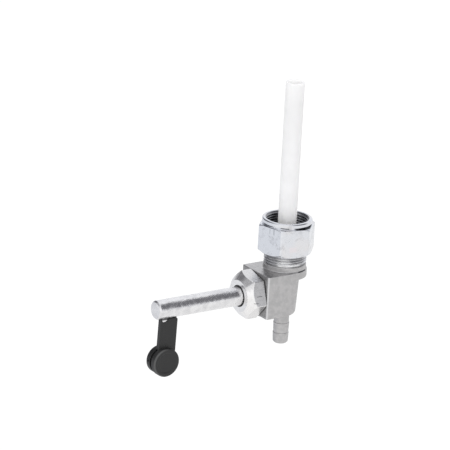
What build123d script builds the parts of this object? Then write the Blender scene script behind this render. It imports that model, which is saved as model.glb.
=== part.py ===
from build123d import *
import os

# A small fuel tap for the underside of a fuel tank: a die-cast body with a hose barb, a coupling nut that draws
# it up to the tank, a nylon standpipe, and a long spindle that ends in a black lever.
# Millimetres. The origin is the centre of the coupling nut's mouth, +Z runs up the thread axis, and the spindle
# points along -X. The lever hangs down, which is the open position.

# Fine thread on the body's spigot, and the coupling nut that runs on it.
thread_d = 15.8
thread_pitch = 1.0
thread_depth = 0.55
thread_play = 0.08
nut_flats = 19.0
nut_height = 13.3
nut_corner_angle = 44.7
nut_rim_d = 18.6
nut_rim_height = 1.5
nut_rim_chamfer = 0.35
nut_groove_d = 17.6
nut_groove_width = 0.7
nut_top_face_d = 20.6
nut_top_rise = 0.4
nut_bottom_face_d = 17.9
nut_bottom_rise = 1.5
nut_mouth_chamfer = 0.15

# Body levels, each measured from the one above it, starting at the nut's lower face.
thread_shown = 3.9
shoulder_height = 2.0
block_rise = 8.5
block_drop = 8.2
barb_length = 12.9

# Body block in plan. The gland face is on the -X side, and the +X end is half round and drafted.
block_width = 17.0
gland_face_reach = 12.9
end_reach_top = 5.2
end_reach_bottom = 4.0
boss_d = 16.5
boss_height = 2.9
block_edge_radius = 0.5
end_edge_radius = 1.1

# Spigot and what stands in it.
spigot_engaged = 6.1
spigot_chamfer = 0.6
tank_washer_thickness = 1.5
tank_washer_play = 0.35
tank_washer_hole_d = 11.4
standpipe_d = 6.9
standpipe_bore_d = 5.0
standpipe_above_mouth = 51.8
standpipe_seat_depth = 7.0
press_play = 0.02
reserve_well_d = 11.2
reserve_well_depth = 4.0

# Hose barb below the block.
barb_crest_d = 5.95
barb_neck_d = 5.6
barb_pitch = 3.9
barb_crests = 2
barb_lowest_crest = 4.1
barb_tip_chamfer = 0.6
fuel_bore_d = 3.0

# Spindle: the turned valve barrel inside the body, its flange and stop, and the long rod outside.
barrel_d = 6.0
barrel_end_reach = 1.9
barrel_end_gap = 0.3
running_play = 0.05
main_port_d = 2.6
reserve_port_d = 1.6
reserve_port_offset = 4.7
reserve_drill_d = 1.6
o_ring_section = 1.2
o_ring_groove_width = 1.4
o_ring_groove_depth = 1.1
inner_o_ring_offset = 2.8
outer_o_ring_offset = 6.9
flange_offset = 8.1
flange_d = 9.4
flange_play = 0.1
cam_thickness = 0.6
flange_thickness = 0.6
stop_pin_d = 1.0
stop_pin_radius = 4.0
stop_pin_sunk = 1.6
stop_pin_play = 0.1
rod_d = 7.1
rod_reach = 56.2
rod_end_chamfer = 0.6

# Gland nut and the pieces that it holds against the spindle's flange.
gland_flats = 15.85
gland_corner_angle = 12.8
gland_hex_length = 6.8
gland_face_d = 12.0
gland_cone_length = 2.7
gland_thread_d = 12.0
gland_shank_length = 2.6
gland_washer_thickness = 0.3
gland_washer_d = 14.0
gland_rod_play = 0.08
stem_seal_thickness = 0.45
stem_seal_length = 3.0
thrust_washer_thickness = 0.4
disc_spring_thickness = 0.3
disc_spring_height = 0.7

# Lever: a plated steel blade set into the rod, with a black moulded grip over it. Both lean slightly outwards.
lever_from_rod_end = 6.0
lever_lean = 2.0
blade_thickness = 1.0
blade_width = 6.4
blade_in_rod = 4.4
blade_length_below = 13.0
grip_width = 7.2
grip_thickness = 1.8
grip_corner_radius = 0.8
grip_gap_under_rod = 0.2
grip_notch_radius = 1.4
grip_notch_offset = 1.8
grip_play = 0.02
pad_drop = 20.05
pad_offset = 1.1
pad_front_d = 11.2
pad_back_d = 10.5
pad_half_thickness = 2.8
pad_groove_half_width = 0.45
pad_groove_depth = 1.1
pad_edge_radius = 0.4
pad_face_recess = 0.2
pad_face_rim = 1.4
gate_pip_d = 0.7
gate_pip_height = 0.4

# Levels and places worked out from the sizes above.
nut_bottom_z = -nut_height
thread_start_z = nut_bottom_z - thread_shown
block_top_z = thread_start_z - shoulder_height
spindle_z = block_top_z - block_rise
block_bottom_z = spindle_z - block_drop
barb_tip_z = block_bottom_z - barb_length
spigot_top_z = nut_bottom_z + spigot_engaged
well_floor_z = spigot_top_z - reserve_well_depth
standpipe_foot_z = well_floor_z - standpipe_seat_depth
gland_face_x = -gland_face_reach
flange_x = -flange_offset
gland_back_x = gland_face_x - gland_washer_thickness
gland_front_x = gland_back_x - gland_hex_length
gland_shank_x = gland_back_x + gland_shank_length
lever_x = -(rod_reach - lever_from_rod_end)
lever_place = Pos(lever_x, 0, spindle_z) * Rot(0, lever_lean, 0)
grip_top = -rod_d / 2 - grip_gap_under_rod


def corner_radius(across_flats):
    """Distance from a hexagon's centre to its corners."""
    return across_flats / 3**0.5


def turned_z(points):
    """Solid turned about the thread axis, from (radius, height) points."""
    return revolve(make_face(Plane.XZ * Polyline(*points, close=True)), Axis.Z)


def turned_x(points):
    """Solid turned about the spindle axis, from (x, radius) points."""
    blank = revolve(make_face(Plane.XZ * Polyline(*points, close=True)), Axis.X)
    return Pos(0, 0, spindle_z) * blank


def upright(radius, z_low, z_high, x=0.0):
    """Cylinder along Z between two heights."""
    place = Pos(x, 0, (z_low + z_high) / 2)
    return place * Cylinder(radius, z_high - z_low)


def along_x(radius, x_low, x_high):
    """Cylinder on the spindle axis between two x values."""
    place = Pos((x_low + x_high) / 2, 0, spindle_z) * Rot(0, 90, 0)
    return place * Cylinder(radius, x_high - x_low)


def block(x_low, x_high, y_low, y_high, z_low, z_high):
    """Box given by its limits."""
    place = Pos((x_low + x_high) / 2, (y_low + y_high) / 2, (z_low + z_high) / 2)
    return place * Box(x_high - x_low, y_high - y_low, z_high - z_low)


def body_block():
    """Cast block: square at the gland face, with a half-round end that leans inwards by its draft."""
    half = block_width / 2
    top_x = end_reach_top - half
    bottom_x = end_reach_bottom - half
    side = Polyline(
        (gland_face_x, block_bottom_z), (gland_face_x, block_top_z),
        (top_x, block_top_z), (bottom_x, block_bottom_z), close=True,
    )
    straight = extrude(make_face(Plane.XZ * side), half, both=True)
    lean = Plane(
        origin=(bottom_x, 0, block_bottom_z),
        z_dir=(top_x - bottom_x, 0, block_top_z - block_bottom_z),
    )
    round_end = lean * Cylinder(half, 4 * (block_top_z - block_bottom_z))
    round_end &= block(bottom_x - block_width, block_width, -half, half, block_bottom_z, block_top_z)
    corners = straight.edges().filter_by(Axis.Z).group_by(Axis.X)[0]
    body = fillet(corners, block_edge_radius) + round_end
    under = body.faces().sort_by(Axis.Z)[0].edges().sort_by(Axis.X)[-1]
    return fillet(under, end_edge_radius)


def spigot_profile():
    """Outline of the turned spigot: plain shoulder, then thread ridges up to a chamfered top."""
    crest = thread_d / 2
    root = crest - thread_depth
    points = [(0, block_top_z - boss_height / 2), (crest, block_top_z - boss_height / 2)]
    points.append((crest, thread_start_z))
    z = thread_start_z
    while z + thread_pitch < spigot_top_z - spigot_chamfer:
        points.append((root, z + thread_pitch / 2))
        points.append((crest, z + thread_pitch))
        z += thread_pitch
    points.append((crest, spigot_top_z - spigot_chamfer))
    points.append((crest - spigot_chamfer, spigot_top_z))
    points.append((0, spigot_top_z))
    return points


def barb_profile():
    """Outline of the hose barb: a plain neck, then saw-tooth crests that taper towards the tip."""
    crest = barb_crest_d / 2
    neck = barb_neck_d / 2
    first_z = barb_tip_z + barb_lowest_crest + (barb_crests - 1) * barb_pitch
    points = [(0, block_bottom_z + block_edge_radius), (neck, block_bottom_z + block_edge_radius)]
    for i in range(barb_crests):
        z = first_z - i * barb_pitch
        points.append((neck, z + (crest - neck) / 2))
        points.append((crest, z))
    points.append((neck, barb_tip_z + barb_tip_chamfer))
    points.append((neck - barb_tip_chamfer, barb_tip_z))
    points.append((0, barb_tip_z))
    return points


def tap_body():
    """Die-cast body: block, boss, threaded spigot and hose barb in one piece, with its drilled passages."""
    body = body_block()
    body += upright(boss_d / 2, block_top_z - boss_height, block_top_z)
    body += turned_z(spigot_profile())
    body += turned_z(barb_profile())

    body -= upright(reserve_well_d / 2, well_floor_z, spigot_top_z)
    body -= upright(standpipe_d / 2 + press_play, standpipe_foot_z, well_floor_z)
    body -= upright(fuel_bore_d / 2, barb_tip_z, standpipe_foot_z)
    body -= upright(reserve_drill_d / 2, spindle_z, well_floor_z, x=-reserve_port_offset)

    chamber_r = flange_d / 2 + flange_play
    body -= along_x(barrel_d / 2 + running_play, flange_x, barrel_end_reach + barrel_end_gap)
    body -= along_x(chamber_r, gland_shank_x, flange_x)
    body -= along_x(gland_thread_d / 2 + press_play, gland_face_x, gland_shank_x)
    pin_hole = Pos(flange_x + stop_pin_sunk / 2, 0, spindle_z + stop_pin_radius) * Rot(0, 90, 0)
    body -= pin_hole * Cylinder(stop_pin_d / 2 + press_play, stop_pin_sunk)
    return body


def coupling_nut():
    """Plated hexagon nut with a turned rim, a groove under it, and a bore for the spigot's thread."""
    hex_top_z = -nut_rim_height - nut_groove_width
    corner_r = corner_radius(nut_flats)
    flats = RegularPolygon(corner_r, 6, rotation=nut_corner_angle)
    body = extrude(Pos(0, 0, nut_bottom_z) * flats, hex_top_z - nut_bottom_z)
    envelope = turned_z([
        (0, nut_bottom_z), (nut_bottom_face_d / 2, nut_bottom_z), (corner_r, nut_bottom_z + nut_bottom_rise),
        (corner_r, hex_top_z - nut_top_rise), (nut_top_face_d / 2, hex_top_z), (0, hex_top_z),
    ])
    body = body & envelope
    rim_r = nut_rim_d / 2
    body += turned_z([
        (0, hex_top_z), (nut_groove_d / 2, hex_top_z), (nut_groove_d / 2, -nut_rim_height),
        (rim_r, -nut_rim_height), (rim_r, -nut_rim_chamfer), (rim_r - nut_rim_chamfer, 0), (0, 0),
    ])
    bore_r = thread_d / 2 + thread_play
    lead = nut_mouth_chamfer
    body -= turned_z([
        (0, nut_bottom_z), (bore_r + lead, nut_bottom_z), (bore_r, nut_bottom_z + lead),
        (bore_r, -lead), (bore_r + lead, 0), (0, 0),
    ])
    return body


def standpipe():
    """Nylon tube pressed into the spigot, open at its top, so that the tap draws above the reserve."""
    tube = upright(standpipe_d / 2, standpipe_foot_z, standpipe_above_mouth)
    return tube - upright(standpipe_bore_d / 2, standpipe_foot_z, standpipe_above_mouth)


def tank_washer():
    """Sealing washer on top of the spigot, which the coupling nut squeezes against the tank's neck."""
    top_z = spigot_top_z + tank_washer_thickness
    disc = upright(thread_d / 2 - tank_washer_play, spigot_top_z, top_z)
    return disc - upright(tank_washer_hole_d / 2, spigot_top_z, top_z)


def gland_nut():
    """Turned hexagon gland nut with a long front cone, a threaded shank and a recess for the stem seal."""
    corner_r = corner_radius(gland_flats)
    flats = RegularPolygon(corner_r, 6, rotation=gland_corner_angle)
    body = extrude(Plane.YZ.offset(gland_front_x) * flats, gland_hex_length)
    body = Pos(0, 0, spindle_z) * body
    cone_x = gland_front_x + gland_cone_length
    body = body & turned_x([
        (gland_front_x, 0), (gland_front_x, gland_face_d / 2), (cone_x, corner_r),
        (gland_back_x, corner_r), (gland_back_x, 0),
    ])
    body += along_x(gland_thread_d / 2, gland_back_x, gland_shank_x)
    body -= along_x(rod_d / 2 + gland_rod_play, gland_front_x, gland_shank_x)
    seal_r = rod_d / 2 + running_play + stem_seal_thickness
    body -= along_x(seal_r + press_play, gland_front_x, gland_front_x + stem_seal_length)
    return body


def gland_washer():
    """Fibre washer between the gland nut and the body."""
    disc = along_x(gland_washer_d / 2, gland_back_x, gland_face_x)
    return disc - along_x(gland_thread_d / 2 + press_play, gland_back_x, gland_face_x)


def stem_seal():
    """Black rubber sleeve that wipes the rod where it leaves the gland nut."""
    inner_r = rod_d / 2 + running_play
    end_x = gland_front_x + stem_seal_length
    sleeve = along_x(inner_r + stem_seal_thickness, gland_front_x, end_x)
    return sleeve - along_x(inner_r, gland_front_x, end_x)


def flange_back_x():
    """Outer face of the spindle's flange, which the thrust washer bears on."""
    return flange_x - running_play - cam_thickness - flange_thickness


def thrust_washer():
    """Steel washer between the spindle's flange and the disc spring."""
    x_high = flange_back_x() - running_play
    x_low = x_high - thrust_washer_thickness
    disc = along_x(flange_d / 2, x_low, x_high)
    return disc - along_x(rod_d / 2 + gland_rod_play, x_low, x_high)


def disc_spring():
    """Coned disc spring that keeps the spindle seated against the body."""
    x_high = flange_back_x() - running_play - thrust_washer_thickness
    inner_r = rod_d / 2 + gland_rod_play
    outer_r = flange_d / 2
    lift = disc_spring_height - disc_spring_thickness
    return turned_x([
        (x_high, outer_r), (x_high - disc_spring_thickness, outer_r),
        (x_high - lift - disc_spring_thickness, inner_r), (x_high - lift, inner_r),
    ])


def stop_pin():
    """Pin in the body that the spindle's half flange meets at both ends of its half turn."""
    reach = cam_thickness
    place = Pos(flange_x + (stop_pin_sunk - reach) / 2, 0, spindle_z + stop_pin_radius) * Rot(0, 90, 0)
    return place * Cylinder(stop_pin_d / 2, stop_pin_sunk + reach)


def spindle():
    """Turned steel spindle: cross-drilled barrel, half flange for the stop, and the long rod."""
    barrel_r = barrel_d / 2
    groove_r = barrel_r - o_ring_groove_depth
    half = o_ring_groove_width / 2
    cam_x = flange_x - running_play
    outline = [(barrel_end_reach, 0), (barrel_end_reach, barrel_r)]
    for offset in (inner_o_ring_offset, outer_o_ring_offset):
        outline += [(-offset + half, barrel_r), (-offset + half, groove_r)]
        outline += [(-offset - half, groove_r), (-offset - half, barrel_r)]
    outline += [(cam_x, barrel_r), (cam_x, flange_d / 2), (flange_back_x(), flange_d / 2)]
    outline += [(flange_back_x(), rod_d / 2), (-rod_reach + rod_end_chamfer, rod_d / 2)]
    outline += [(-rod_reach, rod_d / 2 - rod_end_chamfer), (-rod_reach, 0)]
    body = turned_x(outline)

    cam_cut = along_x(flange_d, cam_x - cam_thickness, cam_x)
    cam_cut -= along_x(barrel_r, cam_x - cam_thickness, cam_x)
    cam_cut &= block(
        -rod_reach, rod_reach, -2 * flange_d, stop_pin_d / 2 + stop_pin_play,
        spindle_z - 2 * flange_d, spindle_z + 2 * flange_d,
    )
    body -= cam_cut

    body -= upright(main_port_d / 2, spindle_z - barrel_d, spindle_z + barrel_d)
    body -= along_x(reserve_port_d / 2, -reserve_port_offset, barrel_end_reach)
    body -= upright(reserve_port_d / 2, spindle_z - barrel_d, spindle_z, x=-reserve_port_offset)

    half_slot = blade_width / 2 + press_play
    body -= lever_place * block(
        -half_slot, half_slot, -blade_thickness / 2 - press_play, blade_thickness / 2 + press_play,
        -rod_d, -rod_d / 2 + blade_in_rod + press_play,
    )
    return body


def o_ring(offset):
    """Seal in one of the barrel's grooves, with the flats that squeezing gives it."""
    low_r = barrel_d / 2 - o_ring_groove_depth + press_play
    high_r = barrel_d / 2 + running_play - press_play
    half = o_ring_section / 2
    round_off = o_ring_section / 4
    return turned_x([
        (-offset - half, low_r + round_off), (-offset - half, high_r - round_off),
        (-offset - half + round_off, high_r), (-offset + half - round_off, high_r),
        (-offset + half, high_r - round_off), (-offset + half, low_r + round_off),
        (-offset + half - round_off, low_r), (-offset - half + round_off, low_r),
    ])


def lever_blade():
    """Plated steel strip, pressed into the slot in the rod's underside."""
    half = blade_width / 2
    top = -rod_d / 2 + blade_in_rod
    return lever_place * block(
        -half, half, -blade_thickness / 2, blade_thickness / 2, grip_top - blade_length_below, top,
    )


def pad_disc(diameter, y_low, y_high):
    """Disc of the lever's round end, with its axis along Y, in the lever's own frame."""
    place = Pos(-pad_offset, (y_low + y_high) / 2, -pad_drop) * Rot(90, 0, 0)
    return place * Cylinder(diameter / 2, y_high - y_low)


def lever_grip():
    """Black moulded sleeve over the blade, ending in a round pad with a groove round its edge."""
    half = grip_width / 2
    stem = block(-half, half, -grip_thickness / 2, grip_thickness / 2, -pad_drop, grip_top)
    top_corners = stem.edges().filter_by(Axis.Y).group_by(Axis.Z)[-1]
    stem = fillet(top_corners, grip_corner_radius)

    front = pad_disc(pad_front_d, -pad_half_thickness, -pad_groove_half_width)
    front = fillet(front.edges().group_by(Axis.Y)[0], pad_edge_radius)
    front -= pad_disc(pad_front_d - 2 * pad_face_rim, -pad_half_thickness, -pad_half_thickness + pad_face_recess)
    back = pad_disc(pad_back_d, pad_groove_half_width, pad_half_thickness)
    back = chamfer(back.edges().group_by(Axis.Y)[-1], pad_edge_radius)
    waist_d = pad_front_d - 2 * pad_groove_depth
    body = stem + front + back + pad_disc(waist_d, -pad_groove_half_width, pad_groove_half_width)

    pip_y = (pad_groove_half_width + pad_half_thickness) / 2
    pip_x = -pad_offset - pad_back_d / 2
    body += Pos(pip_x, pip_y, -pad_drop) * Rot(0, 90, 0) * Cylinder(gate_pip_d / 2, 2 * gate_pip_height)

    notch = Pos(-grip_notch_offset, 0, grip_top) * Rot(90, 0, 0)
    body -= notch * Cylinder(grip_notch_radius, 2 * grip_thickness)
    pocket_half = blade_width / 2 + grip_play
    pocket_y = blade_thickness / 2 + grip_play
    body -= block(
        -pocket_half, pocket_half, -pocket_y, pocket_y, grip_top - blade_length_below - grip_play, grip_top,
    )
    return lever_place * body


pieces = {
    "tap_body": tap_body(),
    "coupling_nut": coupling_nut(),
    "standpipe": standpipe(),
    "tank_washer": tank_washer(),
    "gland_nut": gland_nut(),
    "gland_washer": gland_washer(),
    "stem_seal": stem_seal(),
    "thrust_washer": thrust_washer(),
    "disc_spring": disc_spring(),
    "stop_pin": stop_pin(),
    "spindle": spindle(),
    "inner_o_ring": o_ring(inner_o_ring_offset),
    "outer_o_ring": o_ring(outer_o_ring_offset),
    "lever_blade": lever_blade(),
    "lever_grip": lever_grip(),
}

os.makedirs("parts", exist_ok=True)
for name, piece in pieces.items():
    export_step(piece, f"parts/{name}.step")
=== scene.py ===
import math
import bmesh
import bpy
from mathutils import Matrix, Vector, noise


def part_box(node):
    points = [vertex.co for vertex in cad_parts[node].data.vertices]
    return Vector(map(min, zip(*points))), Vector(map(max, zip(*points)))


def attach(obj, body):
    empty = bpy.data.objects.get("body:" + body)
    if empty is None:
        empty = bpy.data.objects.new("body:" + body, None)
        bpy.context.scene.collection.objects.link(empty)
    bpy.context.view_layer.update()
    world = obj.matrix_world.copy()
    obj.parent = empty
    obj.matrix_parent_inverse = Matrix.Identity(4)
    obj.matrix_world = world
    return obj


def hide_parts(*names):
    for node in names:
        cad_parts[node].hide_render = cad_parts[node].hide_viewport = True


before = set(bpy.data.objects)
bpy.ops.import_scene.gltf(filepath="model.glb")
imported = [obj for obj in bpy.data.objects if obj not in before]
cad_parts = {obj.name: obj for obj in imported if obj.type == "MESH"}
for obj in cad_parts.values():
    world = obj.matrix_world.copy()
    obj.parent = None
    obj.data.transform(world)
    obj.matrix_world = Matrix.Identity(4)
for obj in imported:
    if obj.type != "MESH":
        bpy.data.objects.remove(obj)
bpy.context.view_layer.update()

# Cast body
# One die casting in grey aluminium alloy: block, boss, plain shoulder and hose barb. The die leaves its edges
# soft and its skin faintly pebbled; the passages are drilled and the spigot's thread is cut afterwards.
MM = 0.001


def limits(node):
    """Low and high corners of a CAD piece at rest, in millimetres."""
    return [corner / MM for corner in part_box(node)]


BODY_LOW, BODY_HIGH = limits("tap_body")
THREAD_START_Z = -17.2
BLOCK_LOW_Z = -35.9
CAST_SUNK = 0.1
CAST_CELL = 0.17
CAST_SMOOTHING = 4
CAST_LUMP_SIZE = 2.2
CAST_SMALL_LUMP_SIZE = 0.88
CAST_LUMP_HEIGHT = 0.025
SHARP_FROM = math.radians(50)


def put(name, data):
    """New object in the scene."""
    made = bpy.data.objects.new(name, data)
    bpy.context.scene.collection.objects.link(made)
    return made


def show(name, mesh, body, finish, slot, *nodes):
    """Puts a mesh in the scene as a named piece that rides on a body and stands for the given CAD nodes."""
    piece = put(name, mesh)
    for face in mesh.polygons:
        face.use_smooth = True
    mesh.set_sharp_from_angle(angle=SHARP_FROM)
    mesh.materials.clear()
    mesh.materials.append(finish)
    steady = piece.modifiers.new("steady", "WEIGHTED_NORMAL")
    steady.keep_sharp = True
    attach(piece, body)
    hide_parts(*nodes)


def closed_copy(node):
    """Mesh of a CAD node with its split corners joined, as a bmesh in metres."""
    bm = bmesh.new()
    bm.from_mesh(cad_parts[node].data)
    bmesh.ops.remove_doubles(bm, verts=bm.verts, dist=0.0005 * MM)
    return bm


def keep_side(bm, point, outward):
    """Cuts the mesh on a plane, throws away the outward side and closes the cut."""
    everything = bm.verts[:] + bm.edges[:] + bm.faces[:]
    bmesh.ops.bisect_plane(bm, geom=everything, plane_co=point, plane_no=outward, clear_outer=True)
    rim = [edge for edge in bm.edges if edge.is_boundary]
    bmesh.ops.triangle_fill(bm, edges=rim, use_beauty=True)


def finished_mesh(name, bm):
    """Mesh data made from a bmesh, with its faces turned outwards."""
    bmesh.ops.recalc_face_normals(bm, faces=bm.faces)
    mesh = bpy.data.meshes.new(name)
    bm.to_mesh(mesh)
    bm.free()
    return mesh


def worked_mesh(blank):
    """Mesh of a blank after its modifiers; the blank itself is thrown away."""
    worked = blank.evaluated_get(bpy.context.evaluated_depsgraph_get())
    mesh = bpy.data.meshes.new_from_object(worked)
    bpy.data.objects.remove(blank)
    return mesh


def cast_mesh():
    """The casting from thread to barb, with its edges and inner corners softened as a die leaves them."""
    bm = closed_copy("tap_body")
    keep_side(bm, (0, 0, THREAD_START_Z * MM), (0, 0, 1))
    keep_side(bm, (0, 0, (BLOCK_LOW_Z - CAST_SUNK) * MM), (0, 0, -1))
    blank = put("cast_blank", finished_mesh("cast_blank", bm))
    fuse = blank.modifiers.new("fuse", "REMESH")
    fuse.mode = "VOXEL"
    fuse.voxel_size = CAST_CELL * MM
    bm = bmesh.new()
    bm.from_mesh(worked_mesh(blank))
    every_way = {"use_axis_x": True, "use_axis_y": True, "use_axis_z": True}
    for _ in range(CAST_SMOOTHING):
        bmesh.ops.smooth_vert(bm, verts=bm.verts, factor=0.5, **every_way)
    bm.normal_update()
    for vert in bm.verts:
        large = noise.noise(vert.co / (CAST_LUMP_SIZE * MM))
        small = noise.noise(vert.co / (CAST_SMALL_LUMP_SIZE * MM))
        vert.co += vert.normal * (large + 0.5 * small) * CAST_LUMP_HEIGHT * MM
    return finished_mesh("cast_body", bm)


def add(tree, kind, inputs=None, **settings):
    """New shader node; each input is a value or another node's output."""
    made = tree.nodes.new(kind)
    for key, value in settings.items():
        setattr(made, key, value)
    for key, value in (inputs or {}).items():
        if isinstance(value, bpy.types.NodeSocket):
            tree.links.new(value, made.inputs[key])
        else:
            made.inputs[key].default_value = value
    return made


def mix_colour(tree, mask, low, high):
    """Colour that goes from low to high as the mask goes from 0 to 1."""
    return add(tree, "ShaderNodeMix", {0: mask, 6: low, 7: high}, data_type="RGBA").outputs[2]


def spread(tree, value, low, high, start=0.0, end=1.0):
    """Value mapped smoothly from the range low to high onto start to end."""
    inputs = {"Value": value, "From Min": low, "From Max": high, "To Min": start, "To Max": end}
    return add(tree, "ShaderNodeMapRange", inputs, interpolation_type="SMOOTHSTEP").outputs[0]


def arithmetic(tree, operation, first, second):
    """Result of one sum on two values."""
    return add(tree, "ShaderNodeMath", {0: first, 1: second}, operation=operation).outputs[0]


def times(tree, *factors):
    """Product of masks and values."""
    product = factors[0]
    for factor in factors[1:]:
        product = arithmetic(tree, "MULTIPLY", product, factor)
    return product


def larger(tree, first, second):
    """The larger of two masks."""
    return arithmetic(tree, "MAXIMUM", first, second)


def vectors(tree, operation, first, second=(0, 0, 0)):
    """Outputs of one sum on vectors: 0 is the vector, Value the number."""
    return add(tree, "ShaderNodeVectorMath", {0: first, 1: second}, operation=operation).outputs


def place_in_mm(tree):
    """Place on the piece at rest, in millimetres."""
    place = add(tree, "ShaderNodeTexCoord").outputs["Object"]
    return vectors(tree, "MULTIPLY", place, (1 / MM, 1 / MM, 1 / MM))[0]


def face_direction(tree):
    """X, Y and Z of the direction that a face looks in."""
    normal = add(tree, "ShaderNodeNewGeometry").outputs["True Normal"]
    return add(tree, "ShaderNodeSeparateXYZ", {0: normal}).outputs


def new_group(name, inputs, outputs):
    """Empty shader group with its sockets; returns the group, its input node and its output node."""
    group = bpy.data.node_groups.new(name, "ShaderNodeTree")
    for socket, kind, value in inputs:
        made = group.interface.new_socket(socket, in_out="INPUT", socket_type=kind)
        made.default_value = value
    for socket, kind in outputs:
        group.interface.new_socket(socket, in_out="OUTPUT", socket_type=kind)
    return group, group.nodes.new("NodeGroupInput"), group.nodes.new("NodeGroupOutput")


def use(tree, group, **values):
    """Places a shader group in a material and gives its outputs."""
    return add(tree, "ShaderNodeGroup", values, node_tree=group).outputs


def make_grain():
    """Cloudy grain whose Size is given in millimetres; Stretch lengthens it along the tap's axes."""
    inputs = [("Size", "NodeSocketFloat", 1.0), ("Detail", "NodeSocketFloat", 3.0)]
    inputs.append(("Stretch", "NodeSocketVector", (1, 1, 1)))
    group, given, result = new_group("grain", inputs, [("Value", "NodeSocketFloat")])
    cloud = add(group, "ShaderNodeTexNoise", {
        "Vector": vectors(group, "DIVIDE", place_in_mm(group), given.outputs["Stretch"])[0],
        "Scale": arithmetic(group, "DIVIDE", 1.0, given.outputs["Size"]),
        "Detail": given.outputs["Detail"],
    })
    group.links.new(cloud.outputs[0], result.inputs["Value"])
    return group


def make_upright_place():
    """Place on a piece in millimetres: Radius from the thread axis, Height along it, X and Y."""
    outputs = [(socket, "NodeSocketFloat") for socket in ("Radius", "Height", "X", "Y")]
    group, given, result = new_group("upright_place", [], outputs)
    place = place_in_mm(group)
    flat = vectors(group, "MULTIPLY", place, (1, 1, 0))[0]
    group.links.new(vectors(group, "LENGTH", flat)["Value"], result.inputs["Radius"])
    parts = add(group, "ShaderNodeSeparateXYZ", {0: place}).outputs
    for socket, part in (("Height", "Z"), ("X", "X"), ("Y", "Y")):
        group.links.new(parts[part], result.inputs[socket])
    return group


def window(tree, value, low, high, fade):
    """1 where the value lies between low and high, falling to 0 over the fade on each side."""
    return times(tree, spread(tree, value, low - fade, low), spread(tree, value, high, high + fade, 1.0, 0.0))


GRAIN = make_grain()
UPRIGHT = make_upright_place()


def grain(tree, size, detail, stretch=(1, 1, 1)):
    """Value of the cloudy grain at one size in millimetres."""
    return use(tree, GRAIN, Size=size, Detail=detail, Stretch=stretch)["Value"]


def wander(tree, value, start, end):
    """Grain turned into a value that wanders from start to end."""
    return spread(tree, value, 0.3, 0.7, start, end)


def clouded(tree, value, dull, pale):
    """Colour that drifts from dull to pale with the grain."""
    return mix_colour(tree, spread(tree, value, 0.35, 0.65), dull, pale)


def cleared_tree(holder):
    """Node tree of a material or a world, emptied."""
    holder.use_nodes = True
    holder.node_tree.nodes.clear()
    return holder.node_tree


def new_finish(name, **fixed):
    """Material with one Principled shader. Fixed values go on its own sockets; _ stands for a space."""
    finish = bpy.data.materials.new(name)
    tree = cleared_tree(finish)
    inputs = {key.replace("_", " "): value for key, value in fixed.items()}
    shader = add(tree, "ShaderNodeBsdfPrincipled", inputs)
    surface = add(tree, "ShaderNodeOutputMaterial")
    tree.links.new(shader.outputs[0], surface.inputs["Surface"])
    return finish, tree, shader


def dress(tree, shader, colour, roughness):
    """Gives the shader its colour and its roughness."""
    tree.links.new(colour, shader.inputs["Base Color"])
    tree.links.new(roughness, shader.inputs["Roughness"])


def raise_skin(tree, shader, height, strength, distance):
    """Bump from a height mask, its distance in millimetres."""
    bump = add(tree, "ShaderNodeBump", {"Height": height, "Strength": strength, "Distance": distance * MM})
    tree.links.new(bump.outputs[0], shader.inputs["Normal"])


CAST_PALE = (0.555, 0.545, 0.545, 1)
CAST_DULL = (0.485, 0.48, 0.48, 1)
CAST_BRIGHT = (0.80, 0.80, 0.81, 1)
CAST_DARK = (0.07, 0.07, 0.075, 1)
CORNER_FROM = 0.47
CORNER_FULL = 0.41
FACED_SHADE = 0.12
FACED_POLISH = 0.24
GLAND_SIDE_X = BODY_LOW.x
BLOCK_FRONT_Y = -8.5
BLOCK_TOP_Z = -19.2
SHOULDER_RADIUS = 7.9
FOOT_SHADE_ACROSS = (1.0, 4.2)


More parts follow.
